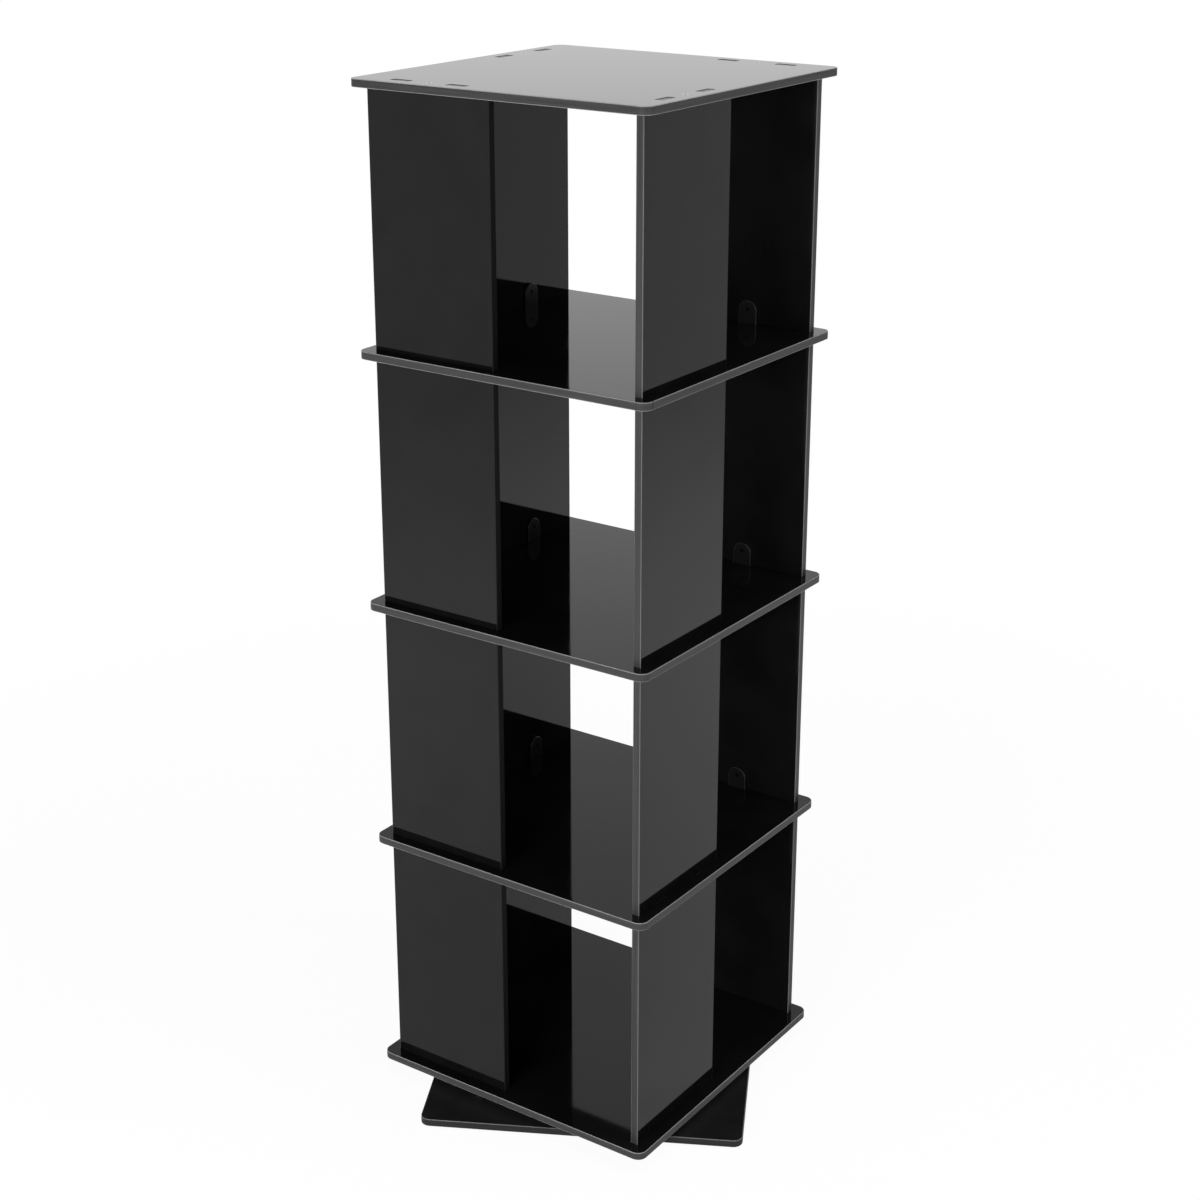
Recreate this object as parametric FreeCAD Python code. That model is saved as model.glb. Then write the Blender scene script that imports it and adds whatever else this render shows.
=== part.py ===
import FreeCAD, Part
import math
import os

# A free-standing media tower that turns on a ball bearing.
#
# Five square boards and sixteen upright panels make four tiers. Each tier has one panel to a side,
# and each panel starts near a corner and ends short of the middle, so the four stand like the
# blades of a pinwheel and leave one open bay to a side. The tower stands on a flat bearing, and
# the bearing stands on a sixth board, the base, which stays still and is drawn part of a turn round.
#
# Millimetres. +Z is up. The origin is on the floor, under the axis the tower turns on. The front
# is -Y, and the other sides follow anticlockwise: right +X, back +Y, left -X.

# --- driving dimensions -------------------------------------------------------------------------

BOARD_SIDE = 400.0            # the five tower boards and the base board
BOARD_THICK = 9.5
BOARD_CORNER_RADIUS = 12.0
BAND_THICK = 0.8              # the strip glued round a board's edge
BAND_ARRIS = 0.3              # the small round along the strip's outer edges
BAND_BUTT_GAP = 1.0           # where the two ends of the strip meet
GLUE_LINE = 0.05

TIER_CLEAR = 300.0            # clear height between two boards
PANEL_WIDTH = 170.0
PANEL_THICK = 9.5
PANEL_INSET = 15.5            # from a board's edge to a panel, on the face side and on the end side

TENON_WIDTH = 25.0
TENON_SPACING = 78.0          # centre to centre, on top of a panel
TENON_RECESS = 0.4            # how far a tenon's end lies below the board's upper face
JOINT_CLEARANCE = 0.3         # round a tenon or a splice in its slot

SPLICE_WIDTH = 25.0           # the round-ended strip that joins the panels above and below a shelf
SPLICE_THICK = 4.0
SPLICE_REACH = 28.0           # beyond each face of the shelf
SPLICE_SCREW_HEIGHT = 17.5    # from the shelf's face to the screw

SCREW_SHANK = 3.5
SCREW_HEAD = 7.0
SCREW_CONE = 2.0              # depth of the countersunk head's cone
SCREW_HEAD_RIM = 0.4          # straight part of the countersunk head, above the cone
SCREW_BITE = 20.0             # how far a long screw runs into a panel's end
SCREW_POINT = 2.0             # length of the screw's tapered point
SCREW_POINT_RADIUS = 0.4
SPLICE_SCREW_COVER = 1.5      # what a splice screw's point leaves of the panel
DRIVE_SPAN = 4.4              # the cross recess in a screw's head
DRIVE_WIDTH = 1.2
DRIVE_DEPTH = 1.2
THREAD_CLEARANCE = 0.05       # round a screw in its hole
HOLE_OVERRUN = 0.5            # how much deeper a blind hole is than its screw

PAN_HEAD = 7.0                # the bearing's own screws
PAN_HEAD_HEIGHT = 2.0
PAN_HEAD_ROUND = 0.8
PAN_SCREW_COVER = 1.5         # what a bearing screw's point leaves of the board

BEARING_SIDE = 150.0
BEARING_CORNER_RADIUS = 10.0
BEARING_SHEET = 1.2
BEARING_HOLE_INSET = 10.0     # from the sheet's edges to a screw hole
BEARING_HOLE = 4.5
BALL_DIAMETER = 6.0
BALL_COUNT = 24
RACE_RADIUS = 58.0            # from the axis to the balls' centres
RACE_LIFT = 0.5               # how far the race's floor is pressed up out of the sheet
RACE_LIP = 0.9                # how far the race's lips stand above its floor
RACE_LAND = 2.4               # width of the rib on each side of the balls
RACE_CLEARANCE = 0.05         # between a ball and its race
CAGE_THICK = 1.4
CAGE_LAND = 1.5               # width of the cage on each side of the balls
CAGE_CLEARANCE = 0.2          # round a ball in the cage

RIVET_SHANK = 10.0
RIVET_BORE = 7.0
RIVET_HEAD = 18.0
RIVET_HEAD_THICK = 1.0
RIVET_PLAY = 0.1              # end play under the still plate
RIVET_COVER = 0.5             # from a rivet head to the board it faces
RIVET_CLEARANCE = 0.05        # radial
HUB_LAND = 3.0                # the pressed hub's floor beyond the rivet's head

BASE_TURN = 28.0              # how far round the base is drawn from the tower, in degrees
ACCESS_HOLE = 20.0            # the hole in the base that a screwdriver goes through
PAD_DIAMETER = 24.0
PAD_THICK = 2.0
PAD_INSET = 35.0              # from the base's edges to a pad's centre

# The side on which the ends of each board's edge strip meet, in quarter turns from the front right
# corner. On the upper shelf they meet at that corner, and on the others behind the tower.
BAND_BUTT_QUARTERS = {
    "base_board": 2,
    "bottom_board": 2,
    "lower_shelf": 2,
    "middle_shelf": 2,
    "upper_shelf": 0,
    "top_board": 2,
}

# --- names --------------------------------------------------------------------------------------

TOWER_BOARDS = ["bottom_board", "lower_shelf", "middle_shelf", "upper_shelf", "top_board"]
SHELVES = TOWER_BOARDS[1:-1]
SIDES = ["front", "right", "back", "left"]
TIER_COUNT = len(TOWER_BOARDS) - 1

# --- worked out from the dimensions -------------------------------------------------------------

bearing_height = 2 * (BEARING_SHEET + RACE_LIFT + RACE_CLEARANCE) + BALL_DIAMETER
base_bottom = PAD_THICK
base_top = base_bottom + BOARD_THICK
tower_bottom = base_top + bearing_height
tier_step = BOARD_THICK + TIER_CLEAR
ball_level = base_top + bearing_height / 2

panel_outer_y = -BOARD_SIDE / 2 + PANEL_INSET
panel_inner_y = panel_outer_y + PANEL_THICK
panel_middle_y = (panel_outer_y + panel_inner_y) / 2
panel_start_x = -BOARD_SIDE / 2 + PANEL_INSET
panel_middle_x = panel_start_x + PANEL_WIDTH / 2

band_allowance = BAND_THICK + GLUE_LINE
hub_rise = RIVET_HEAD_THICK + RIVET_PLAY + RIVET_COVER

ORIGIN = FreeCAD.Vector(0, 0, 0)
UP = FreeCAD.Vector(0, 0, 1)
DOWN = FreeCAD.Vector(0, 0, -1)
OUTWARDS = FreeCAD.Vector(0, -1, 0)


def board_bottom(level):
    """Height of the underside of a tower board: level 0 is the bottom board."""
    return tower_bottom + level * tier_step


# --- small helpers ------------------------------------------------------------------------------


def save(name, shape):
    """Writes one node's STEP file."""
    shape.exportStep("parts/" + name + ".step")


def centred_box(centre_x, centre_y, bottom, width, depth, height):
    """A box given by the middle of its bottom face."""
    corner = FreeCAD.Vector(centre_x - width / 2, centre_y - depth / 2, bottom)
    return Part.makeBox(width, depth, height, corner)


def rounded_slab(side, radius, bottom, height):
    """A square slab on the axis, with its four upright edges rounded."""
    slab = centred_box(0, 0, bottom, side, side, height)
    upright = [edge for edge in slab.Edges if abs(edge.tangentAt(edge.FirstParameter).z) > 0.5]
    return slab.makeFillet(radius, upright)


def ring(inner_radius, outer_radius, bottom, height):
    """A flat ring on the axis."""
    outer = Part.makeCylinder(outer_radius, height, FreeCAD.Vector(0, 0, bottom))
    inner = Part.makeCylinder(inner_radius, height, FreeCAD.Vector(0, 0, bottom))
    return outer.cut(inner)


def turned(shape, degrees):
    """A copy of the shape, turned about the tower's axis."""
    copy = shape.copy()
    copy.rotate(ORIGIN, UP, degrees)
    return copy


def on_each_side(shape):
    """Four copies of a shape made for the front, one to a side."""
    return [turned(shape, 90 * quarter) for quarter in range(len(SIDES))]


def corner_points(offset):
    """Four points at the same distance from both middle lines of a square."""
    return [(x, y) for x in (-offset, offset) for y in (-offset, offset)]


# --- screws -------------------------------------------------------------------------------------


def shank(radius, length):
    """A screw's straight shank and its point, from z = 0 down."""
    straight = Part.makeCylinder(radius, length - SCREW_POINT, ORIGIN, DOWN)
    start = FreeCAD.Vector(0, 0, SCREW_POINT - length)
    point = Part.makeCone(radius, SCREW_POINT_RADIUS, SCREW_POINT, start, DOWN)
    return straight.fuse(point)


def drive_recess(head_top):
    """The cross-shaped cut in a screw's head."""
    bottom = head_top - DRIVE_DEPTH
    along = centred_box(0, 0, bottom, DRIVE_SPAN, DRIVE_WIDTH, DRIVE_DEPTH)
    across = centred_box(0, 0, bottom, DRIVE_WIDTH, DRIVE_SPAN, DRIVE_DEPTH)
    return along.fuse(across)


def countersunk_screw(length):
    """A countersunk screw whose head is flush with z = 0 and whose point is down."""
    head_radius = SCREW_HEAD / 2
    rim = Part.makeCylinder(head_radius, SCREW_HEAD_RIM, ORIGIN, DOWN)
    cone_top = FreeCAD.Vector(0, 0, -SCREW_HEAD_RIM)
    cone = Part.makeCone(head_radius, SCREW_SHANK / 2, SCREW_CONE, cone_top, DOWN)
    body = shank(SCREW_SHANK / 2, length).fuse([rim, cone]).removeSplitter()
    return body.cut(drive_recess(0))


def countersunk_hole(length):
    """What a countersunk screw of this length needs cut out of the wood, head and all."""
    head_radius = SCREW_HEAD / 2 + THREAD_CLEARANCE
    shank_radius = SCREW_SHANK / 2 + THREAD_CLEARANCE
    rim = Part.makeCylinder(head_radius, SCREW_HEAD_RIM + THREAD_CLEARANCE, ORIGIN, DOWN)
    cone_top = FreeCAD.Vector(0, 0, -SCREW_HEAD_RIM - THREAD_CLEARANCE)
    cone = Part.makeCone(head_radius, shank_radius, SCREW_CONE, cone_top, DOWN)
    bore = Part.makeCylinder(shank_radius, length + HOLE_OVERRUN, ORIGIN, DOWN)
    return rim.fuse([cone, bore])


def pan_screw(length):
    """A pan-head screw whose head sits on z = 0 and whose point is down."""
    head = Part.makeCylinder(PAN_HEAD / 2, PAN_HEAD_HEIGHT, ORIGIN, UP)
    top_edges = [edge for edge in head.Edges if edge.BoundBox.ZMin > PAN_HEAD_HEIGHT / 2]
    head = head.makeFillet(PAN_HEAD_ROUND, top_edges)
    body = shank(SCREW_SHANK / 2, length).fuse(head)
    return body.cut(drive_recess(PAN_HEAD_HEIGHT))


def pan_hole(length):
    """The blind hole that a pan-head screw's shank makes below z = 0."""
    return Part.makeCylinder(SCREW_SHANK / 2 + THREAD_CLEARANCE, length + HOLE_OVERRUN, ORIGIN, DOWN)


def placed(shape, x, y, z, direction=DOWN):
    """A copy of a screw or screw hole at a point, with its point in the given direction."""
    copy = shape.copy()
    copy.Placement = FreeCAD.Placement(FreeCAD.Vector(x, y, z), FreeCAD.Rotation(DOWN, direction))
    return copy


# --- where the fasteners go ---------------------------------------------------------------------

top_screw_length = BOARD_THICK + SCREW_BITE
splice_screw_length = SPLICE_THICK + PANEL_THICK - SPLICE_SCREW_COVER
pan_screw_length = BEARING_SHEET + BOARD_THICK - PAN_SCREW_COVER
tenon_middles = [panel_middle_x - TENON_SPACING / 2, panel_middle_x + TENON_SPACING / 2]
bearing_hole_offset = BEARING_SIDE / 2 - BEARING_HOLE_INSET


def top_fasteners(kind):
    """One screw, or hole, down through the top board into the middle of each panel of the top tier."""
    top = board_bottom(TIER_COUNT) + BOARD_THICK
    return on_each_side(placed(kind(top_screw_length), panel_middle_x, panel_middle_y, top))


def bottom_fasteners(kind):
    """Two screws, or holes, up through the bottom board into each panel of the lowest tier."""
    found = []
    for x in tenon_middles:
        found += on_each_side(placed(kind(top_screw_length), x, panel_middle_y, tower_bottom, UP))
    return found


def splice_fasteners(kind, level):
    """The screws, or holes, that fix the splices of one shelf to the panels above and below it."""
    shelf_bottom = board_bottom(level)
    heights = [
        shelf_bottom + BOARD_THICK + SPLICE_SCREW_HEIGHT,
        shelf_bottom - SPLICE_SCREW_HEIGHT,
    ]
    face_y = panel_inner_y + SPLICE_THICK
    found = []
    for height in heights:
        one = placed(kind(splice_screw_length), panel_middle_x, face_y, height, OUTWARDS)
        found += on_each_side(one)
    return found


def still_plate_fasteners(kind):
    """The screws, or holes, that fix the bearing's still plate to the base."""
    height = base_top + BEARING_SHEET
    one = kind(pan_screw_length)
    found = [placed(one, x, y, height) for x, y in corner_points(bearing_hole_offset)]
    return [turned(shape, BASE_TURN) for shape in found]


def turning_plate_fasteners(kind):
    """The screws, or holes, that fix the bearing's turning plate to the bottom board."""
    height = tower_bottom - BEARING_SHEET
    one = kind(pan_screw_length)
    return [placed(one, x, y, height, UP) for x, y in corner_points(bearing_hole_offset)]


# --- boards -------------------------------------------------------------------------------------


def board_blank(bottom):
    """A board without its edge strip."""
    side = BOARD_SIDE - 2 * band_allowance
    return rounded_slab(side, BOARD_CORNER_RADIUS - band_allowance, bottom, BOARD_THICK)


def tenon_slots(bottom):
    """The eight slots that the panels' tenons come up through."""
    slots = []
    for x in tenon_middles:
        width = TENON_WIDTH + 2 * JOINT_CLEARANCE
        depth = PANEL_THICK + 2 * JOINT_CLEARANCE
        slots += on_each_side(centred_box(x, panel_middle_y, bottom, width, depth, BOARD_THICK))
    return slots


def splice_slots(bottom):
    """The four slots that a shelf's splices pass through."""
    middle_y = panel_inner_y + SPLICE_THICK / 2
    width = SPLICE_WIDTH + 2 * JOINT_CLEARANCE
    depth = SPLICE_THICK + 2 * JOINT_CLEARANCE
    return on_each_side(centred_box(panel_middle_x, middle_y, bottom, width, depth, BOARD_THICK))


def edge_band(bottom, butt_quarter):
    """The strip round a board's edge, in one length, with its ends butted beside a corner."""
    outer = rounded_slab(BOARD_SIDE, BOARD_CORNER_RADIUS, bottom, BOARD_THICK)
    level_edges = [edge for edge in outer.Edges if edge.BoundBox.ZLength < BOARD_THICK / 2]
    outer = outer.makeFillet(BAND_ARRIS, level_edges)
    inner_side = BOARD_SIDE - 2 * BAND_THICK
    inner = rounded_slab(inner_side, BOARD_CORNER_RADIUS - BAND_THICK, bottom, BOARD_THICK)
    butt_y = -BOARD_SIDE / 2 + BOARD_CORNER_RADIUS + BAND_BUTT_GAP
    gap = centred_box(BOARD_SIDE / 2, butt_y, bottom, 4 * BAND_THICK, BAND_BUTT_GAP, BOARD_THICK)
    return outer.cut([inner, turned(gap, 90 * butt_quarter)])


def make_tower_boards():
    """The five boards of the tower and their edge strips."""
    for level, name in enumerate(TOWER_BOARDS):
        bottom = board_bottom(level)
        cuts = []
        if level > 0:
            cuts += tenon_slots(bottom)
        if name in SHELVES:
            cuts += splice_slots(bottom)
        if name == "top_board":
            cuts += top_fasteners(countersunk_hole)
        if name == "bottom_board":
            cuts += bottom_fasteners(countersunk_hole)
            cuts += turning_plate_fasteners(pan_hole)
        save(name, board_blank(bottom).cut(cuts))
        save(name + "_edge_band", edge_band(bottom, BAND_BUTT_QUARTERS[name]))


def make_base():
    """The base board, its edge strip and the pads it stands on."""
    reach = bearing_hole_offset * math.sqrt(2)
    access = Part.makeCylinder(ACCESS_HOLE / 2, BOARD_THICK, FreeCAD.Vector(reach, 0, base_bottom))
    board = turned(board_blank(base_bottom).cut(access), BASE_TURN)
    save("base_board", board.cut(still_plate_fasteners(pan_hole)))
    band = edge_band(base_bottom, BAND_BUTT_QUARTERS["base_board"])
    save("base_board_edge_band", turned(band, BASE_TURN))
    pads = []
    for x, y in corner_points(BOARD_SIDE / 2 - PAD_INSET):
        pad = Part.makeCylinder(PAD_DIAMETER / 2, PAD_THICK, FreeCAD.Vector(x, y, 0))
        pads.append(turned(pad, BASE_TURN))
    save("foot_pads", Part.makeCompound(pads))


# --- panels -------------------------------------------------------------------------------------


def panel_blank(bottom):
    """The front panel of a tier, with the two tenons on its top, without its edge strips."""
    width = PANEL_WIDTH - 2 * band_allowance
    sheet = centred_box(panel_middle_x, panel_middle_y, bottom, width, PANEL_THICK, TIER_CLEAR)
    tenons = []
    for x in tenon_middles:
        tenon_height = BOARD_THICK - TENON_RECESS
        root = bottom + TIER_CLEAR
        tenons.append(centred_box(x, panel_middle_y, root, TENON_WIDTH, PANEL_THICK, tenon_height))
    return sheet.fuse(tenons).removeSplitter()


def panel_bands(bottom):
    """The strips on the two upright edges of the front panel."""
    offset = (PANEL_WIDTH - BAND_THICK) / 2
    bands = []
    for direction in (-1, 1):
        x = panel_middle_x + direction * offset
        strip = centred_box(x, panel_middle_y, bottom, BAND_THICK, PANEL_THICK, TIER_CLEAR)
        outer_x = x + direction * BAND_THICK / 2
        outer_edges = [
            edge
            for edge in strip.Edges
            if edge.BoundBox.ZLength > TIER_CLEAR / 2 and abs(edge.CenterOfMass.x - outer_x) < GLUE_LINE
        ]
        bands.append(strip.makeFillet(BAND_ARRIS, outer_edges))
    return bands


def panel_holes(level):
    """All screw holes that reach into the panels of one tier."""
    holes = []
    if level == 0:
        holes += bottom_fasteners(countersunk_hole)
    else:
        holes += splice_fasteners(countersunk_hole, level)
    if level == TIER_COUNT - 1:
        holes += top_fasteners(countersunk_hole)
    else:
        holes += splice_fasteners(countersunk_hole, level + 1)
    return holes


def make_panels():
    """The sixteen panels, one node each, and the edge strips of each tier."""
    for level in range(TIER_COUNT):
        bottom = board_bottom(level) + BOARD_THICK
        tier = "tier_" + str(level + 1)
        holes = panel_holes(level)
        for side, panel in zip(SIDES, on_each_side(panel_blank(bottom))):
            save(tier + "_panel_" + side, panel.cut(holes))
        bands = []
        for band in panel_bands(bottom):
            bands += on_each_side(band)
        save(tier + "_panel_edge_bands", Part.makeCompound(bands))


# --- splices ------------------------------------------------------------------------------------


def splice_blank(level):
    """The front splice of one shelf: a flat strip with half-round ends, without its screw holes."""
    half_width = SPLICE_WIDTH / 2
    low = board_bottom(level) - SPLICE_REACH
    high = board_bottom(level) + BOARD_THICK + SPLICE_REACH
    left = panel_middle_x - half_width
    right = panel_middle_x + half_width

    def point(x, z):
        return FreeCAD.Vector(x, panel_inner_y, z)

    left_side = Part.LineSegment(point(left, high - half_width), point(left, low + half_width))
    bottom_end = Part.Arc(
        point(left, low + half_width), point(panel_middle_x, low), point(right, low + half_width)
    )
    right_side = Part.LineSegment(point(right, low + half_width), point(right, high - half_width))
    top_end = Part.Arc(
        point(right, high - half_width), point(panel_middle_x, high), point(left, high - half_width)
    )
    outline = [left_side, bottom_end, right_side, top_end]
    wire = Part.Wire([curve.toShape() for curve in outline])
    return Part.Face(wire).extrude(FreeCAD.Vector(0, SPLICE_THICK, 0))


def make_splices():
    """Four splices to a shelf, one node each."""
    for name in SHELVES:
        level = TOWER_BOARDS.index(name)
        holes = splice_fasteners(countersunk_hole, level)
        for side, splice in zip(SIDES, on_each_side(splice_blank(level))):
            save(name + "_splice_" + side, splice.cut(holes))


# --- the bearing --------------------------------------------------------------------------------


def bearing_plate():
    """One pressed plate of the bearing, lying on z = 0 with its race upwards."""
    plate = rounded_slab(BEARING_SIDE, BEARING_CORNER_RADIUS, 0, BEARING_SHEET)
    ball_radius = BALL_DIAMETER / 2
    rib_top = BEARING_SHEET + RACE_LIFT + RACE_LIP
    rib_half_width = ball_radius + RACE_LAND
    rib = ring(RACE_RADIUS - rib_half_width, RACE_RADIUS + rib_half_width, 0, rib_top)
    hub_radius = RIVET_HEAD / 2 + HUB_LAND
    hub = Part.makeCylinder(hub_radius, hub_rise + BEARING_SHEET)
    plate = plate.fuse([rib, hub]).removeSplitter()

    race_level = BEARING_SHEET + RACE_LIFT + RACE_CLEARANCE + ball_radius
    race = Part.makeTorus(RACE_RADIUS, ball_radius + RACE_CLEARANCE, FreeCAD.Vector(0, 0, race_level))
    pocket_half_width = rib_half_width - BEARING_SHEET
    pocket = ring(RACE_RADIUS - pocket_half_width, RACE_RADIUS + pocket_half_width, 0, RACE_LIFT)
    hub_pocket = Part.makeCylinder(hub_radius - BEARING_SHEET, hub_rise)
    rivet_hole = Part.makeCylinder(RIVET_SHANK / 2 + RIVET_CLEARANCE, hub_rise + BEARING_SHEET)
    screw_holes = [
        Part.makeCylinder(BEARING_HOLE / 2, BEARING_SHEET, FreeCAD.Vector(x, y, 0))
        for x, y in corner_points(bearing_hole_offset)
    ]
    return plate.cut([race, pocket, hub_pocket, rivet_hole] + screw_holes)


def balls_round_race():
    """The balls, evenly spaced round the race."""
    first = Part.makeSphere(BALL_DIAMETER / 2, FreeCAD.Vector(RACE_RADIUS, 0, ball_level))
    return [turned(first, 360 / BALL_COUNT * number) for number in range(BALL_COUNT)]


def ball_cage():
    """The flat ring that keeps the balls apart."""
    half_width = BALL_DIAMETER / 2 + CAGE_LAND
    bottom = ball_level - CAGE_THICK / 2
    cage = ring(RACE_RADIUS - half_width, RACE_RADIUS + half_width, bottom, CAGE_THICK)
    hole_radius = BALL_DIAMETER / 2 + CAGE_CLEARANCE
    hole = Part.makeCylinder(hole_radius, CAGE_THICK, FreeCAD.Vector(RACE_RADIUS, 0, bottom))
    return cage.cut([turned(hole, 360 / BALL_COUNT * number) for number in range(BALL_COUNT)])


def centre_rivet():
    """The hollow rivet that holds the two plates together. It turns with the tower."""
    low = base_top + hub_rise - RIVET_PLAY - RIVET_HEAD_THICK
    high = tower_bottom - hub_rise + RIVET_HEAD_THICK
    spindle = Part.makeCylinder(RIVET_SHANK / 2, high - low, FreeCAD.Vector(0, 0, low))
    heads = [
        Part.makeCylinder(RIVET_HEAD / 2, RIVET_HEAD_THICK, FreeCAD.Vector(0, 0, bottom))
        for bottom in (low, high - RIVET_HEAD_THICK)
    ]
    bore = Part.makeCylinder(RIVET_BORE / 2, high - low, FreeCAD.Vector(0, 0, low))
    return spindle.fuse(heads).removeSplitter().cut(bore)


def make_bearing():
    """The bearing between the base and the tower, with its screws."""
    still_plate = turned(bearing_plate(), BASE_TURN)
    still_plate.translate(FreeCAD.Vector(0, 0, base_top))
    save("bearing_still_plate", still_plate)
    turning_plate = bearing_plate()
    turning_plate.rotate(ORIGIN, FreeCAD.Vector(1, 0, 0), 180)
    turning_plate.translate(FreeCAD.Vector(0, 0, tower_bottom))
    save("bearing_turning_plate", turning_plate)
    save("bearing_balls", Part.makeCompound(balls_round_race()))
    save("bearing_ball_cage", ball_cage())
    save("bearing_rivet", centre_rivet())
    save("bearing_base_screws", Part.makeCompound(still_plate_fasteners(pan_screw)))
    save("bearing_tower_screws", Part.makeCompound(turning_plate_fasteners(pan_screw)))


# --- wood screws --------------------------------------------------------------------------------


def make_wood_screws():
    """The countersunk screws, one node to a board."""
    save("top_board_screws", Part.makeCompound(top_fasteners(countersunk_screw)))
    save("bottom_board_screws", Part.makeCompound(bottom_fasteners(countersunk_screw)))
    for name in SHELVES:
        level = TOWER_BOARDS.index(name)
        screws = splice_fasteners(countersunk_screw, level)
        save(name + "_splice_screws", Part.makeCompound(screws))


os.makedirs("parts", exist_ok=True)
make_tower_boards()
make_base()
make_panels()
make_splices()
make_bearing()
make_wood_screws()
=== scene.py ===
import math
from contextlib import contextmanager

import bmesh
import bpy
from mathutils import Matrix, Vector


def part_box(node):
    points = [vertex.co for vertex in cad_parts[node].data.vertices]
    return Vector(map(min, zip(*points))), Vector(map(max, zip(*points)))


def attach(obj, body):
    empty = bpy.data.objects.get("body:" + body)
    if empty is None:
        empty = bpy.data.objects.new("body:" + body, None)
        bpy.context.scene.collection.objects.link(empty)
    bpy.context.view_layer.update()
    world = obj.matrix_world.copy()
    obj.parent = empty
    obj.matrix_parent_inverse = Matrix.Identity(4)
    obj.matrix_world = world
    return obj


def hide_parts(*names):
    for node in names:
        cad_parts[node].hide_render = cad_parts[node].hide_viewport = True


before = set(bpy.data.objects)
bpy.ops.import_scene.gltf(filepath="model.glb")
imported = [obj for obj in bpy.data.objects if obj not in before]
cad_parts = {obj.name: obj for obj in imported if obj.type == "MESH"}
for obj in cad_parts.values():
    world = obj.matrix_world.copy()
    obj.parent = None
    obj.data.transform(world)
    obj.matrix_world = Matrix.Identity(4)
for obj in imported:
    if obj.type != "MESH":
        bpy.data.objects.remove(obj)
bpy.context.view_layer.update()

# A media tower of glossy black boards that turns on a ball bearing above its base board.
#
# Metres. +Z is up, the front is -Y, and the origin is on the floor under the turning axis. Places
# come from the frame's own boxes. What is alike on the four sides is modelled once at the front,
# and its copies are turned about the axis: front, right, back, left.

# --- sizes that the frame's boxes don't give ----------------------------------------------------

BASE_TURN = math.radians(28)     # how far round the base is drawn from the tower
BOARD_CORNER_RADIUS = 0.0110     # of the board itself, inside its edge strip
STRIP_CORNER_RADIUS = 0.0120
STRIP_THICK = 0.0008
STRIP_ARRIS = 0.0007             # the scraped round along a strip's outer edges
BUTT_GAP = 0.0010                # where the two ends of a board's strip meet
BOARD_EASE = 0.0002              # the small break on a board's machined edges
PANEL_EASE = 0.0003              # and on those of a panel and its tenons

TENON_WIDTH = 0.0250
TENON_SPACING = 0.0780
SLOT_CLEARANCE = 0.0003

SPLICE_RIM = 0.0006              # the round on a splice's moulded rim
SPLICE_END = 0.4999              # radius of its round ends in widths, a hair short of a half
SPLICE_SCREW_HEIGHT = 0.0175     # from a shelf's face to the screw

SCREW_SHANK = 0.00175            # radii
SCREW_HEAD = 0.0035
SCREW_POINT = 0.0004
SCREW_CONE_DEPTH = 0.0020
SCREW_RIM_DEPTH = 0.0004
SCREW_POINT_LENGTH = 0.0020
DRIVE_SPAN = 0.0044
DRIVE_WIDTH = 0.0012
DRIVE_DEPTH = 0.0012
DRIVE_TAPER = (0.55, 0.8, 1)     # a wedge's floor as shares of its mouth, along and across it
DRIVE_WELL_RADIUS = 0.0015       # of the tapered well in the middle of the cross
DRIVE_WELL_DEPTH = 0.0019
HOLE_CLEARANCE = 0.00005
HOLE_OVERRUN = 0.0005
TOP_SCREW_LENGTH = 0.0295
SPLICE_SCREW_LENGTH = 0.0120

ACCESS_HOLE_RADIUS = 0.0100
ACCESS_HOLE_REACH = 0.0919       # from the axis to the hole that a screwdriver goes through
PAD_RADIUS = 0.0120
PAD_REACH = 0.1650               # from the base's middle lines to a pad's centre
PAD_ROUND = 0.0005
PAD_ROUND_MIDDLE = 0.3           # how far in and up that round's middle lies, as a share of it

# --- facets and tolerances ----------------------------------------------------------------------

CORNER_SEGMENTS = 8              # of a board's round corner
ARRIS_SEGMENTS = 3               # of a small round along an edge
EASE_SEGMENTS = 2                # of a small break
SPLICE_END_SEGMENTS = 14
TURNED_SIDES = 32
WELL_SIDES = 14
PAD_SIDES = 40
ACCESS_HOLE_SIDES = 48
SHARP_ANGLE = math.radians(40)   # an edge sharper than this is eased
SMOOTH_ANGLE = math.radians(35)  # faces that meet flatter than this are shaded as one
FACING = 0.9                     # the least cosine at which a face counts as facing a way
ALONG = 0.999                    # the same for an edge that runs along an axis
WALL_MARGIN = 0.001              # a slot's walls lie further than this inside the board's edge
HAIR = 0.0001                    # places closer together than this count as the same

SIDES = ["front", "right", "back", "left"]
BOARDS = ["bottom_board", "lower_shelf", "middle_shelf", "upper_shelf", "top_board"]
SHELVES = BOARDS[1:-1]
TIERS = [1, 2, 3, 4]

# --- camera -------------------------------------------------------------------------------------

CAMERA_PLACE = (1.4114, -2.0293, 1.5741)
CAMERA_HEADING = math.radians(34.784)      # from +Y towards -X
CAMERA_PITCH = math.radians(19.098)        # below level
CAMERA_LENS = 64.9                         # millimetres
CAMERA_SENSOR = 36.0                       # millimetres
CAMERA_SHIFT_Y = -0.055
CAMERA_REACH = 100.0


def make_camera():
    """The camera, a little above the tower's top and to its right."""
    data = bpy.data.cameras.new("camera")
    data.sensor_width = CAMERA_SENSOR
    data.lens = CAMERA_LENS
    data.shift_y = CAMERA_SHIFT_Y
    data.clip_end = CAMERA_REACH
    camera = bpy.data.objects.new("camera", data)
    camera.location = CAMERA_PLACE
    camera.rotation_euler = (math.pi / 2 - CAMERA_PITCH, 0, CAMERA_HEADING)
    bpy.context.scene.collection.objects.link(camera)
    bpy.context.scene.camera = camera


make_camera()
bpy.context.scene.view_settings.view_transform = "Standard"

# --- nodes and colours --------------------------------------------------------------------------


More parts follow.
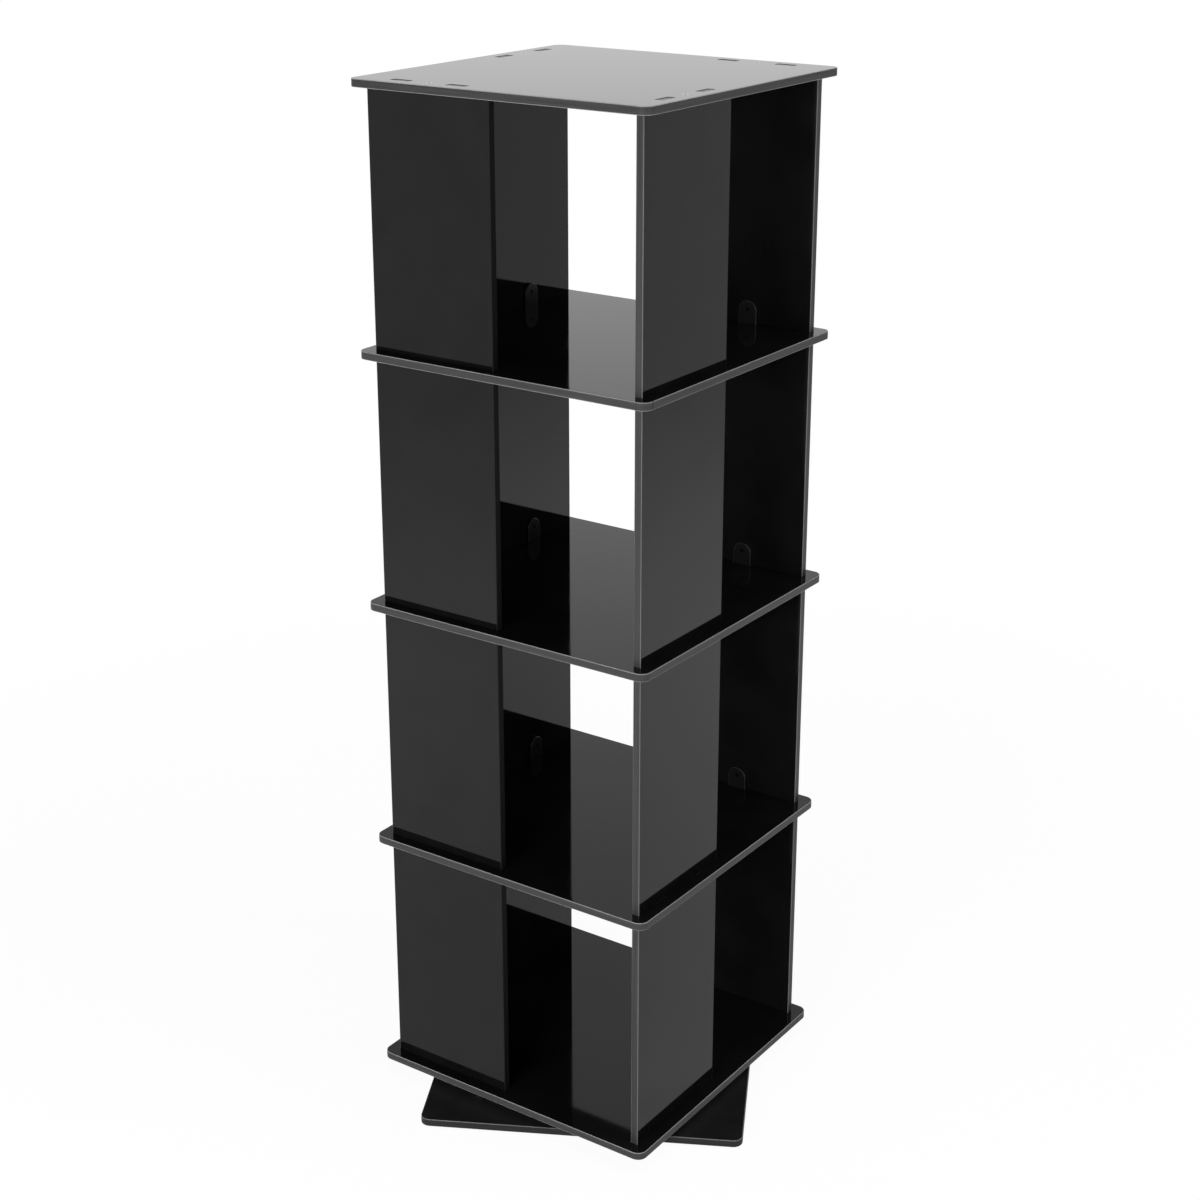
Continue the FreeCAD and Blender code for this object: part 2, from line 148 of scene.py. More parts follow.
def linear(colour):
    """An sRGB hex colour as the linear values that a shader takes."""
    values = [int(colour[place:place + 2], 16) / 255 for place in (1, 3, 5)]
    return [v / 12.92 if v <= 0.04045 else ((v + 0.055) / 1.055) ** 2.4 for v in values] + [1]


def add(tree, kind, inputs=None, **settings):
    """Adds a node with its settings. An input is a value, or another node's output to link."""
    made = tree.nodes.new(kind)
    for name, value in settings.items():
        setattr(made, name, value)
    for name, value in (inputs or {}).items():
        if isinstance(value, bpy.types.NodeSocket):
            tree.links.new(value, made.inputs[name])
        else:
            made.inputs[name].default_value = value
    return made


def new_tree(owner):
    """The empty node tree of a new material or world."""
    owner.use_nodes = True
    owner.node_tree.nodes.clear()
    return owner.node_tree


# --- studio -------------------------------------------------------------------------------------

WALL_EDGE = (0.38, 0.55)         # cosines of the heading where the white walls begin and are full
CEILING_EDGE = (0.60, 0.85)      # sines of the elevation where the ceiling begins and is full
WALL_FADE = (0.05, 0.50)         # sines of the elevation between which the walls' light falls off
LOW_LIGHT = 1.02                 # the walls' light at their foot
HIGH_LIGHT = 0.56                # and higher up, and that of the ceiling
GAP_LIGHT = 0.032                # the dark openings between the two walls
AMBIENT = 0.096                  # the room's light on surfaces without gloss
FLOOR_SIZE = 60.0
FLOOR_SHOWN = 0.95               # how much of the floor's white is its own, and not lit
FAR_WHITE = 1.047                # what keeps the unlit floor as white as the room behind it
FAR_EDGE = (0.6, 3.0)            # metres from the axis over which that comes up
# A painted pool of light: the floor's glow in the boards' gloss rises and falls with distance from
# the axis.
PAINTED_POOL_RISE = (0.3, 1.7)           # metres from the axis over which the pool of light comes up
PAINTED_POOL_FALL = (1.8, 3.6)           # and dies away
NEAR_GLOSS = 0.57                # how bright the floor is in the boards' gloss, by the tower
PAINTED_POOL_GLOSS = 0.82                # in the pool of light
FAR_SHARE = 0.70                 # and beyond it, as a share of the pool's
TOWER_MIDDLE = Vector((0, 0, 0.65))
SOFTBOX_SIZE = 1.6
SOFTBOXES = [                    # name, place and watts
    ("front_softbox", (0.39, -3.14, 1.10), 104),
    ("front_left_softbox", (-0.90, -3.04, 1.10), 16),
    ("right_softbox", (3.12, 0.55, 1.10), 20),
    ("high_right_softbox", (2.34, 0.41, 2.79), 34),
    ("overhead_softbox", (0.2, -0.1, 4.20), 60),
]


def ramp(tree, value, edge, low=0.0, high=1.0):
    """A soft step from low to high as the value crosses the edge's two ends."""
    inputs = {"Value": value, "From Min": edge[0], "From Max": edge[1]}
    inputs.update({"To Min": low, "To Max": high})
    return add(tree, "ShaderNodeMapRange", inputs, interpolation_type="SMOOTHSTEP").outputs[0]


def make_world():
    """Two white walls, in front and behind, with dark gaps between them and a dimmer ceiling."""
    world = bpy.data.worlds.new("studio")
    bpy.context.scene.world = world
    tree = new_tree(world)
    direction = add(tree, "ShaderNodeTexCoord").outputs["Generated"]
    up = add(tree, "ShaderNodeSeparateXYZ", {"Vector": direction}).outputs["Z"]
    heading = (-math.sin(CAMERA_HEADING), math.cos(CAMERA_HEADING), 0)
    along = add(tree, "ShaderNodeVectorMath", {0: direction, 1: heading}, operation="DOT_PRODUCT")
    nearness = add(tree, "ShaderNodeMath", {0: along.outputs["Value"]}, operation="ABSOLUTE")
    wall = ramp(tree, nearness.outputs[0], WALL_EDGE)
    ceiling = ramp(tree, up, CEILING_EDGE)
    lit = add(tree, "ShaderNodeMath", {0: wall, 1: ceiling}, operation="MAXIMUM")
    height = ramp(tree, up, WALL_FADE, LOW_LIGHT, HIGH_LIGHT)
    inputs = {"Value": lit.outputs[0], "To Min": GAP_LIGHT, "To Max": height}
    light = add(tree, "ShaderNodeMapRange", inputs)
    path = add(tree, "ShaderNodeLightPath")
    inputs = {"Value": path.outputs["Is Glossy Ray"], "To Min": AMBIENT, "To Max": light.outputs[0]}
    lighting = add(tree, "ShaderNodeMapRange", inputs)
    inputs = {"Value": path.outputs["Is Camera Ray"], "To Min": lighting.outputs[0], "To Max": 1.0}
    strength = add(tree, "ShaderNodeMapRange", inputs)
    inputs = {"Color": linear("#ffffff"), "Strength": strength.outputs[0]}
    background = add(tree, "ShaderNodeBackground", inputs)
    add(tree, "ShaderNodeOutputWorld", {"Surface": background.outputs[0]})


def make_floor():
    """A white floor that keeps the tower's shadow."""
    bpy.ops.object.select_all(action="DESELECT")
    bpy.ops.mesh.primitive_plane_add(size=FLOOR_SIZE)
    floor = bpy.context.object
    floor.name = "studio_floor"
    material = bpy.data.materials.new("white_paper_floor")
    tree = new_tree(material)
    path = add(tree, "ShaderNodeLightPath")
    seen = (path.outputs["Is Camera Ray"], path.outputs["Is Glossy Ray"])
    seen = add(tree, "ShaderNodeMath", {0: seen[0], 1: seen[1]}, operation="MAXIMUM")
    share = add(tree, "ShaderNodeMath", {0: seen.outputs[0], 1: FLOOR_SHOWN}, operation="MULTIPLY")
    place = add(tree, "ShaderNodeTexCoord").outputs["Object"]
    reach = add(tree, "ShaderNodeVectorMath", {0: place}, operation="LENGTH").outputs["Value"]
    # The floor's glow in the gloss: a painted pool of light, brightest at middle distance from the
    # axis.
    pool = ramp(tree, reach, PAINTED_POOL_RISE, NEAR_GLOSS, PAINTED_POOL_GLOSS)
    fall = ramp(tree, reach, PAINTED_POOL_FALL, 1.0, FAR_SHARE)
    gloss = add(tree, "ShaderNodeMath", {0: pool, 1: fall}, operation="MULTIPLY")
    shown = ramp(tree, reach, FAR_EDGE, 1.0, FAR_WHITE)
    inputs = {"Value": path.outputs["Is Camera Ray"], "To Min": gloss.outputs[0], "To Max": shown}
    glow = add(tree, "ShaderNodeMapRange", inputs)
    white = add(tree, "ShaderNodeEmission", {"Strength": glow.outputs[0]})
    paper = add(tree, "ShaderNodeBsdfDiffuse", {"Color": linear("#f7f7f7")})
    inputs = {0: share.outputs[0], 1: paper.outputs[0], 2: white.outputs[0]}
    mixed = add(tree, "ShaderNodeMixShader", inputs)
    add(tree, "ShaderNodeOutputMaterial", {"Surface": mixed.outputs[0]})
    floor.data.materials.append(material)


def make_softbox(name, place, power):
    """A square lamp that faces the middle of the tower, and that can't be seen in the gloss."""
    data = bpy.data.lights.new(name, "AREA")
    data.size = SOFTBOX_SIZE
    data.energy = power
    lamp = bpy.data.objects.new(name, data)
    lamp.location = place
    lamp.rotation_euler = (TOWER_MIDDLE - Vector(place)).to_track_quat("-Z", "Y").to_euler()
    lamp.visible_glossy = False
    bpy.context.scene.collection.objects.link(lamp)


make_world()
make_floor()
for softbox in SOFTBOXES:
    make_softbox(*softbox)

# --- materials ----------------------------------------------------------------------------------


def start_material(name, colour, roughness, ior=1.45):
    """A new material with one Principled shader, its uniform values set on its own sockets."""
    material = bpy.data.materials.new(name)
    tree = new_tree(material)
    inputs = {"Base Color": linear(colour), "Roughness": roughness, "IOR": ior}
    shader = add(tree, "ShaderNodeBsdfPrincipled", inputs)
    add(tree, "ShaderNodeOutputMaterial", {"Surface": shader.outputs[0]})
    place = add(tree, "ShaderNodeTexCoord").outputs["Object"]
    return material, tree, shader, place


def noise(tree, place, size, detail=2.0, stretch=(1, 1, 1)):
    """Noise whose blotches are about size metres across, stretched along an axis where asked."""
    scale = [1 / (size * factor) for factor in stretch]
    scaled = add(tree, "ShaderNodeMapping", {"Vector": place, "Scale": scale})
    inputs = {"Vector": scaled.outputs[0], "Scale": 1.0, "Detail": detail}
    return add(tree, "ShaderNodeTexNoise", inputs).outputs["Fac"]


def spread(tree, value, low, high, edge=(0.3, 0.7)):
    """A 0-1 pattern as a value between low and high."""
    inputs = {"Value": value, "From Min": edge[0], "From Max": edge[1]}
    inputs.update({"To Min": low, "To Max": high})
    return add(tree, "ShaderNodeMapRange", inputs).outputs[0]


def tint(tree, value, dark, light, edge=(0.3, 0.7)):
    """A 0-1 pattern as a colour between two others."""
    share = spread(tree, value, 0.0, 1.0, edge)
    colours = {0: share, 6: linear(dark), 7: linear(light)}  # the mix's share and its two colours
    return add(tree, "ShaderNodeMix", colours, data_type="RGBA").outputs[2]


def relief(tree, shader, value, height, previous=None):
    """Bumps the surface by a pattern that stands height metres high."""
    inputs = {"Height": value, "Distance": height, "Strength": 1.0}
    if previous is not None:
        inputs["Normal"] = previous
    bump = add(tree, "ShaderNodeBump", inputs).outputs["Normal"]
    tree.links.new(bump, shader.inputs["Normal"])
    return bump


def black_lacquer():
    """High-gloss lacquer on fibreboard: near-black, mirror-like, with a faint orange peel.

    The board's slow waves are about 35 mm long, and the peel's dimples about 2 mm across.
    """
    name = "gloss_lacquered_fibreboard"
    material, tree, shader, place = start_material(name, "#0c0c0d", 0.04, 1.40)
    cloud = noise(tree, place, 0.060)
    tree.links.new(spread(tree, cloud, 0.030, 0.060), shader.inputs["Roughness"])
    tree.links.new(tint(tree, cloud, "#0a0a0b", "#0f0f10"), shader.inputs["Base Color"])
    slow = relief(tree, shader, noise(tree, place, 0.035, 1.0), 0.000003)
    relief(tree, shader, noise(tree, place, 0.0022, 1.0), 0.0000003, slow)
    return material


def satin_lacquer():
    """Satin lacquer on fibreboard: soft, so that only a haze of the room shows in it."""
    name = "satin_lacquered_fibreboard"
    material, tree, shader, place = start_material(name, "#151516", 0.30, 1.40)
    cloud = noise(tree, place, 0.040)
    tree.links.new(spread(tree, cloud, 0.27, 0.34), shader.inputs["Roughness"])
    tree.links.new(tint(tree, cloud, "#131314", "#171718"), shader.inputs["Base Color"])
    relief(tree, shader, noise(tree, place, 0.0012, 2.0), 0.000002)
    return material


def cut_fibreboard():
    """A machined end of stained fibreboard: dull, with level fibres four times as long as thick."""
    material, tree, shader, place = start_material("stained_fibreboard_end", "#262423", 0.32, 1.40)
    fibres = noise(tree, place, 0.0006, 4.0, (4, 4, 1))
    tree.links.new(tint(tree, fibres, "#201e1c", "#393632"), shader.inputs["Base Color"])
    tree.links.new(spread(tree, fibres, 0.26, 0.38), shader.inputs["Roughness"])
    relief(tree, shader, fibres, 0.00002)
    return material


def edge_strip(name, dark, light, roughness, stretch, ior=1.42):
    """Extruded PVC edge strip: satin, with streaks from the die along its length, 0.6 mm wide."""
    material, tree, shader, place = start_material(name, dark, roughness, ior)
    streaks = noise(tree, place, 0.0006, 3.0, stretch)
    tree.links.new(tint(tree, streaks, dark, light), shader.inputs["Base Color"])
    uneven = spread(tree, streaks, roughness * 0.85, roughness * 1.2)
    tree.links.new(uneven, shader.inputs["Roughness"])
    relief(tree, shader, streaks, 0.000010)
    return material


def moulded_splice():
    """Moulded ABS with a spark-eroded grain: dull, dark grey, the grain drawn a little coarse."""
    material, tree, shader, place = start_material("moulded_abs", "#101011", 0.34, 1.40)
    grain = noise(tree, place, 0.0005, 2.0)
    tree.links.new(tint(tree, grain, "#0d0d0e", "#131314"), shader.inputs["Base Color"])
    tree.links.new(spread(tree, grain, 0.30, 0.38), shader.inputs["Roughness"])
    relief(tree, shader, grain, 0.000008)
    return material


def painted_highlight_rim():
    """The splice's rim: glossier than the body, its lighter colour a painted highlight."""
    material, tree, shader, place = start_material("painted_highlight_abs_rim", "#2c2c2d", 0.22, 1.50)
    highlight_grain = noise(tree, place, 0.0020, 3.0)
    tree.links.new(tint(tree, highlight_grain, "#242425", "#383839"), shader.inputs["Base Color"])
    tree.links.new(spread(tree, highlight_grain, 0.18, 0.30), shader.inputs["Roughness"])
    return material


def plated_steel(name, colour, roughness, size=0.004):
    """Plated steel: a soft metallic shine, a little uneven where the plating pooled."""
    material, tree, shader, place = start_material(name, colour, roughness, 1.50)
    shader.inputs["Metallic"].default_value = 1.0
    pooled = noise(tree, place, size, 3.0)
    uneven = spread(tree, pooled, roughness * 0.8, roughness * 1.3)
    tree.links.new(uneven, shader.inputs["Roughness"])
    relief(tree, shader, pooled, 0.000004)
    return material


def blackened_steel():
    """Black-oxide steel: dark, dry and slightly metallic in the light."""
    material, tree, shader, place = start_material("black_oxide_steel", "#161617", 0.45, 1.50)
    shader.inputs["Metallic"].default_value = 0.6
    grit = noise(tree, place, 0.0008, 2.0)
    tree.links.new(spread(tree, grit, 0.38, 0.52), shader.inputs["Roughness"])
    return material


def painted_shade_recess():
    """The inside of a screw's recess: near-black painted shade, with no shine left in it."""
    material, tree, shader, place = start_material("painted_shade_recess_steel", "#050505", 0.90, 1.50)
    shader.inputs["Specular IOR Level"].default_value = 0.05
    shade_grain = noise(tree, place, 0.0006, 2.0)
    tree.links.new(tint(tree, shade_grain, "#030303", "#090909"), shader.inputs["Base Color"])
    return material


def nylon():
    """Natural nylon: milky, a little waxy."""
    material, tree, shader, place = start_material("natural_nylon", "#d8d3c4", 0.40, 1.53)
    shader.inputs["Subsurface Weight"].default_value = 0.1
    shader.inputs["Subsurface Radius"].default_value = (0.001, 0.001, 0.001)
    milk = noise(tree, place, 0.006)
    tree.links.new(tint(tree, milk, "#d0cab9", "#ded9cb"), shader.inputs["Base Color"])
    return material


def rubber():
    """Black foamed rubber: flat and fine-pored."""
    material, tree, shader, place = start_material("foamed_rubber", "#161616", 0.85, 1.50)
    pores = noise(tree, place, 0.0004, 2.0)
    tree.links.new(tint(tree, pores, "#101010", "#1d1d1d"), shader.inputs["Base Color"])
    relief(tree, shader, pores, 0.00003)
    return material


LEVEL = (300, 300, 1)            # a streak's reach along each axis, in widths: round a board
UPRIGHT = (1, 1, 300)            # and up a panel

LACQUER = black_lacquer()
BASE_LACQUER = satin_lacquer()
CUT_END = cut_fibreboard()
LEVEL_STRIP = edge_strip("level_pvc_strip", "#1d1d1e", "#3e3e3f", 0.40, LEVEL)
UPRIGHT_STRIP = edge_strip("upright_pvc_strip", "#232324", "#3a3a3b", 0.40, UPRIGHT)
# A darker copy of the upright strip for the panels' inner ends: painted shade.
INNER_STRIP_SHADED = edge_strip("inner_pvc_strip_painted_shade", "#141415", "#1e1e1f", 0.60, UPRIGHT, 1.30)
BASE_STRIP = edge_strip("base_pvc_strip", "#161617", "#262627", 0.45, LEVEL, 1.38)
# The arris materials are much lighter than their strips: a painted highlight along the rounded
# edges.
BASE_ARRIS_HIGHLIGHT = edge_strip("base_arris_painted_highlight", "#505051", "#666667", 0.35, LEVEL)
LEVEL_ARRIS_HIGHLIGHT = edge_strip("level_arris_painted_highlight", "#707071", "#888889", 0.30, LEVEL)
UPRIGHT_ARRIS_HIGHLIGHT = edge_strip("upright_arris_painted_highlight", "#525253", "#666667", 0.30, UPRIGHT)
SPLICE_PLASTIC = moulded_splice()
SPLICE_HIGHLIGHT_PLASTIC = painted_highlight_rim()
SCREW_STEEL = plated_steel("nickel_plated_steel", "#e4e1dc", 0.22)
BLACK_SCREW = blackened_steel()
PAINTED_SHADE_STEEL = painted_shade_recess()
BEARING_STEEL = plated_steel("zinc_plated_steel", "#b9bcc0", 0.32, 0.012)
BALL_STEEL = plated_steel("polished_ball_steel", "#dcdcdc", 0.06)
CAGE_NYLON = nylon()
PAD_RUBBER = rubber()

# --- modelling helpers --------------------------------------------------------------------------


def only(piece):
    """Makes one piece the only thing selected."""
    bpy.ops.object.select_all(action="DESELECT")
    piece.select_set(True)
    bpy.context.view_layer.objects.active = piece


@contextmanager
def editing(piece, kind="FACE"):
    """Edit mode on one piece, with nothing in it selected."""
    only(piece)
    bpy.ops.object.mode_set(mode="EDIT")
    bpy.ops.mesh.select_mode(type=kind)
    bpy.ops.mesh.select_all(action="DESELECT")
    yield
    bpy.ops.object.mode_set(mode="OBJECT")


def pick(piece, kind, test):
    """In edit mode, selects just the faces or edges that pass a test."""
    bpy.ops.mesh.select_all(action="DESELECT")
    mesh = bmesh.from_edit_mesh(piece.data)
    for element in getattr(mesh, kind):
        if test(element):
            element.select_set(True)
    bmesh.update_edit_mesh(piece.data)


def runs_along(edge, axis):
    """True if an edge is parallel to an axis: 0, 1 or 2."""
    step = edge.verts[1].co - edge.verts[0].co
    return abs(step[axis]) > ALONG * step.length


def block(name, low, high):
    """A box between two corners, with its place in its mesh."""
    bpy.ops.object.select_all(action="DESELECT")
    low, high = Vector(low), Vector(high)
    bpy.ops.mesh.primitive_cube_add(size=1, location=(low + high) / 2, scale=high - low)
    piece = bpy.context.object
    piece.name = name
    bpy.ops.object.transform_apply(location=True, rotation=True, scale=True)
    return piece


def turned(name, profile, sides=TURNED_SIDES):
    """A round solid about Z: a disc, drawn on and resized at each (radius, height) of a profile."""
    radius, height = profile[0]
    bpy.ops.object.select_all(action="DESELECT")
    bpy.ops.mesh.primitive_circle_add(
        vertices=sides, radius=radius, fill_type="NGON", location=(0, 0, height)
    )
    piece = bpy.context.object
    piece.name = name
    bpy.ops.object.transform_apply(location=True, rotation=True, scale=True)
    with editing(piece):
        bpy.ops.mesh.select_all(action="SELECT")
        for next_radius, next_height in profile[1:]:
            rise = (0, 0, next_height - height)
            bpy.ops.mesh.extrude_region_move(TRANSFORM_OT_translate={"value": rise})
            share = next_radius / radius
            bpy.ops.transform.resize(value=(share, share, 1))
            radius, height = next_radius, next_height
        bpy.ops.mesh.select_all(action="SELECT")
        bpy.ops.mesh.normals_make_consistent(inside=False)
    return piece


def apply(piece, kind, **settings):
    """Adds a modifier to a piece and applies it."""
    only(piece)
    modifier = piece.modifiers.new(kind.lower(), kind)
    for name, value in settings.items():
        setattr(modifier, name, value)
    bpy.ops.object.modifier_apply(modifier=modifier.name)


def ease(piece, width):
    """Breaks every sharp edge of a piece."""
    limit = {"limit_method": "ANGLE", "angle_limit": SHARP_ANGLE}
    apply(piece, "BEVEL", width=width, segments=EASE_SEGMENTS, **limit)


def cut(piece, cutters):
    """Takes each cutter out of a piece, and then deletes the cutters."""
    for cutter in cutters:
        apply(piece, "BOOLEAN", operation="DIFFERENCE", solver="EXACT", object=cutter)
        bpy.data.objects.remove(cutter)


def moved(piece, turn=0.0, shift=(0, 0, 0), tilt=0.0):
    """Tilts a piece about X, turns it about the axis, shifts it, and puts its place in its mesh."""
    only(piece)
    piece.rotation_euler = (tilt, 0, turn)
    piece.location = shift
    bpy.ops.object.transform_apply(location=True, rotation=True, scale=True)
    return piece


def copied(piece, name, turn=0.0, shift=(0, 0, 0), tilt=0.0):
    """A copy of a piece with its own mesh, moved to its place."""
    twin = piece.copy()
    twin.data = piece.data.copy()
    twin.name = name
    bpy.context.scene.collection.objects.link(twin)
    return moved(twin, turn, shift, tilt)


def joined(name, pieces):
    """Several pieces as one."""
    only(pieces[0])
    for piece in pieces:
        piece.select_set(True)
    bpy.ops.object.join()
    pieces[0].name = name
    return pieces[0]


def round_edges(radius):
    """Rounds the selected edges, and gives the new faces the piece's second material."""
    bpy.ops.mesh.bevel(offset=radius, segments=ARRIS_SEGMENTS, affect="EDGES", material=1)


def quarter(side):
    """How far a side is turned from the front."""
    return math.radians(90) * SIDES.index(side)


def up_to_tier(tier):
    """The shift that takes a piece from the lowest tier to another."""
    return (0, 0, tier_step * (tier - 1))


def clad(piece, *materials):
    """Gives a piece its materials. Its faces take the first, unless they are numbered otherwise."""
    for material in materials:
        piece.data.materials.append(material)


def finish(piece, nodes, body):
    """Smooths a piece's curves, gives it its body, and puts it in its nodes' place."""
    only(piece)
    bpy.ops.object.shade_smooth_by_angle(angle=SMOOTH_ANGLE)
    apply(piece, "WEIGHTED_NORMAL", keep_sharp=True)
    piece.data.name = piece.name
    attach(piece, body)
    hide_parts(*nodes)


def keep_from_gloss(piece):
    """Keeps a piece by the floor out of the panels' gloss: they mirror only the white floor."""
    piece.visible_glossy = False


# --- places taken from the frame ----------------------------------------------------------------

board_low, board_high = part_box("top_board")
board_half = (board_high.x - board_low.x) / 2
strip_half = -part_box("top_board_edge_band")[0].x
panel_low, panel_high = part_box("tier_1_panel_front")
panel_middle = (panel_low + panel_high) / 2
tier_floor = panel_low.z
tier_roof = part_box("lower_shelf")[0].z
tier_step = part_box("tier_2_panel_front")[0].z - panel_low.z
splice_low, splice_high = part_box("lower_shelf_splice_front")
tenon_middles = [panel_middle.x - TENON_SPACING / 2, panel_middle.x + TENON_SPACING / 2]

# --- screws and their holes ---------------------------------------------------------------------


def head_profile(top, clearance=0.0):
    """The outline of a countersunk head, its face on z = 0, from a height down to its shank."""
    head = SCREW_HEAD + clearance
    cone_top = -SCREW_RIM_DEPTH - clearance
    return [(head, top), (head, cone_top), (SCREW_SHANK + clearance, cone_top - SCREW_CONE_DEPTH)]


def drive_cutters():
    """The two crossed wedges and the tapered well that make the recess in a screw's head."""
    half = DRIVE_SPAN / 2
    narrow = DRIVE_WIDTH / 2
    wedge = block("drive_wedge", (-half, -narrow, -DRIVE_DEPTH), (half, narrow, 0))
    with editing(wedge):
        pick(wedge, "faces", lambda face: face.normal.z < -FACING)
        bpy.ops.transform.resize(value=DRIVE_TAPER)
        pick(wedge, "faces", lambda face: face.normal.z > FACING)
        bpy.ops.mesh.extrude_region_move(TRANSFORM_OT_translate={"value": (0, 0, HOLE_OVERRUN)})
    mouth = DRIVE_WELL_RADIUS
    profile = [(mouth, HOLE_OVERRUN), (mouth, 0), (mouth / 2, -DRIVE_WELL_DEPTH)]
    well = turned("drive_well", profile, WELL_SIDES)
    return [wedge, copied(wedge, "drive_wedge_across", math.radians(90)), well]


def make_screw(name, length, steel):
    """One countersunk screw with a cross recess, its head's face on z = 0 and its point down."""
    point = [(SCREW_SHANK, SCREW_POINT_LENGTH - length), (SCREW_POINT, -length)]
    screw = turned(name, head_profile(0.0) + point)
    cut(screw, drive_cutters())
    # The recess's faces take near-black painted shade; the rest takes the screw's steel.
    clad(screw, steel, PAINTED_SHADE_STEEL)
    for face in screw.data.polygons:
        x, y, z = face.center
        sunk = -DRIVE_WELL_DEPTH - HAIR < z < -HAIR
        face.material_index = int(sunk and math.hypot(x, y) < DRIVE_SPAN / 2)
    return screw


def hole_cutter(length):
    """What a countersunk screw of this length needs cut out, standing a little proud of z = 0."""
    end = [(SCREW_SHANK + HOLE_CLEARANCE, -length - HOLE_OVERRUN)]
    return turned("hole_cutter", head_profile(HOLE_OVERRUN, HOLE_CLEARANCE) + end)


def on_sides(model, name, shift, tilt=0.0):
    """Four copies of a model placed at the front, one turned to each side."""
    front = copied(model, name, 0.0, shift, tilt)
    copies = [copied(front, name, quarter(side)) for side in SIDES[1:]]
    return [front] + copies


def top_places(model, level_z):
    """A model over the middle of each panel, its head's face on the top board."""
    return on_sides(model, "top_screw", (panel_middle.x, panel_middle.y, level_z))


def bottom_places(model, level_z):
    """A model under each tenon line of the lowest panels, its point up."""
    found = []
    for x in tenon_middles:
        found += on_sides(model, "bottom_screw", (x, panel_middle.y, level_z), math.pi)
    return found


def splice_places(model, shelf):
    """A model in each splice of a shelf, above it and below it, its point outwards."""
    low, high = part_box(shelf)
    found = []
    for height in (high.z + SPLICE_SCREW_HEIGHT, low.z - SPLICE_SCREW_HEIGHT):
        place = (panel_middle.x, splice_high.y, height)
        found += on_sides(model, "splice_screw", place, -math.pi / 2)
    return found


def make_screws():
    """All the countersunk screws, one piece to a board."""
    long_screw = make_screw("long_screw", TOP_SCREW_LENGTH, SCREW_STEEL)
    short_screw = make_screw("short_screw", SPLICE_SCREW_LENGTH, BLACK_SCREW)
    top = joined("top_board_wood_screws", top_places(long_screw, board_high.z))
    finish(top, ["top_board_screws"], "tower")
    bottom_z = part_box("bottom_board")[0].z
    bottom = joined("bottom_board_wood_screws", bottom_places(long_screw, bottom_z))
    finish(bottom, ["bottom_board_screws"], "tower")
    for shelf in SHELVES:
        group = joined(shelf + "_wood_screws", splice_places(short_screw, shelf))
        finish(group, [shelf + "_splice_screws"], "tower")
    for model in (long_screw, short_screw):
        bpy.data.objects.remove(model)


# --- boards -------------------------------------------------------------------------------------


def rounded_square(name, half, radius, low, high):
    """A square slab about the axis with round upright corners."""
    slab = block(name, (-half, -half, low), (half, half, high))
    with editing(slab, "EDGE"):
        pick(slab, "edges", lambda edge: runs_along(edge, 2))
        bpy.ops.mesh.bevel(offset=radius, segments=CORNER_SEGMENTS, affect="EDGES")
    return slab


def slot(middle_x, low_y, high_y, width):
    """A slot at the front as (low x, low y, high x, high y), with its clearance."""
    half = width / 2 + SLOT_CLEARANCE
    return (middle_x - half, low_y - SLOT_CLEARANCE, middle_x + half, high_y + SLOT_CLEARANCE)


def turned_slots(one):
    """The same slot on all four sides."""
    found = [one]
    for _ in SIDES[1:]:
        low_x, low_y, high_x, high_y = found[-1]
        found.append((-high_y, low_x, -low_y, high_x))
    return found


def open_slots(board, slots):
    """Scores the board along the slots' sides, and opens each slot from face to face."""
    with editing(board):
        for axis in (0, 1):
            normal = [0, 0, 0]
            normal[axis] = 1
            for place in sorted({one[end] for one in slots for end in (axis, axis + 2)}):
                point = [value * place for value in normal]
                bpy.ops.mesh.select_all(action="SELECT")
                bpy.ops.mesh.bisect(plane_co=point, plane_no=normal)
        for low_x, low_y, high_x, high_y in slots:

            def inside(face):
                middle = face.calc_center_median()
                level = abs(face.normal.z) > FACING
                return level and low_x < middle.x < high_x and low_y < middle.y < high_y

            pick(board, "faces", inside)
            bpy.ops.mesh.bridge_edge_loops()


def slot_walls(face):
    """True for an upright face well inside the board, which is a slot's wall."""
    reach = max(abs(face.center.x), abs(face.center.y))
    return abs(face.normal.z) < FACING and reach < board_half - WALL_MARGIN


def make_boards():
    """The five boards of the tower, with their slots and screw holes."""
    tenon_slots = []
    for x in tenon_middles:
        tenon_slots += turned_slots(slot(x, panel_low.y, panel_high.y, TENON_WIDTH))
    splice_width = splice_high.x - splice_low.x
    splice_slots = turned_slots(slot(panel_middle.x, splice_low.y, splice_high.y, splice_width))
    for name in BOARDS:
        low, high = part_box(name)
        board = rounded_square(name + "_panel", board_half, BOARD_CORNER_RADIUS, low.z, high.z)
        if name != "bottom_board":
            open_slots(board, tenon_slots + (splice_slots if name in SHELVES else []))
        ease(board, BOARD_EASE)
        clad(board, LACQUER, CUT_END)
        for face in board.data.polygons:
            face.material_index = int(slot_walls(face))
        cutter = hole_cutter(TOP_SCREW_LENGTH)
        if name == "top_board":
            cut(board, top_places(cutter, high.z))
        if name == "bottom_board":
            cut(board, bottom_places(cutter, low.z))
        bpy.data.objects.remove(cutter)
        finish(board, [name], "tower")


def make_base():
    """The base board, with the hole that a screwdriver goes through."""
    low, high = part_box("base_board")
    base = rounded_square("base_panel", board_half, BOARD_CORNER_RADIUS, low.z, high.z)
    bpy.ops.object.select_all(action="DESELECT")
    bpy.ops.mesh.primitive_cylinder_add(
        vertices=ACCESS_HOLE_SIDES,
        radius=ACCESS_HOLE_RADIUS,
        depth=2 * (high.z - low.z),
        location=(ACCESS_HOLE_REACH, 0, low.z),
    )
    cut(base, [bpy.context.object])
    ease(base, BOARD_EASE)
    moved(base, BASE_TURN)
    clad(base, BASE_LACQUER)
    finish(base, ["base_board"], "base")
    keep_from_gloss(base)


# --- edge strips --------------------------------------------------------------------------------


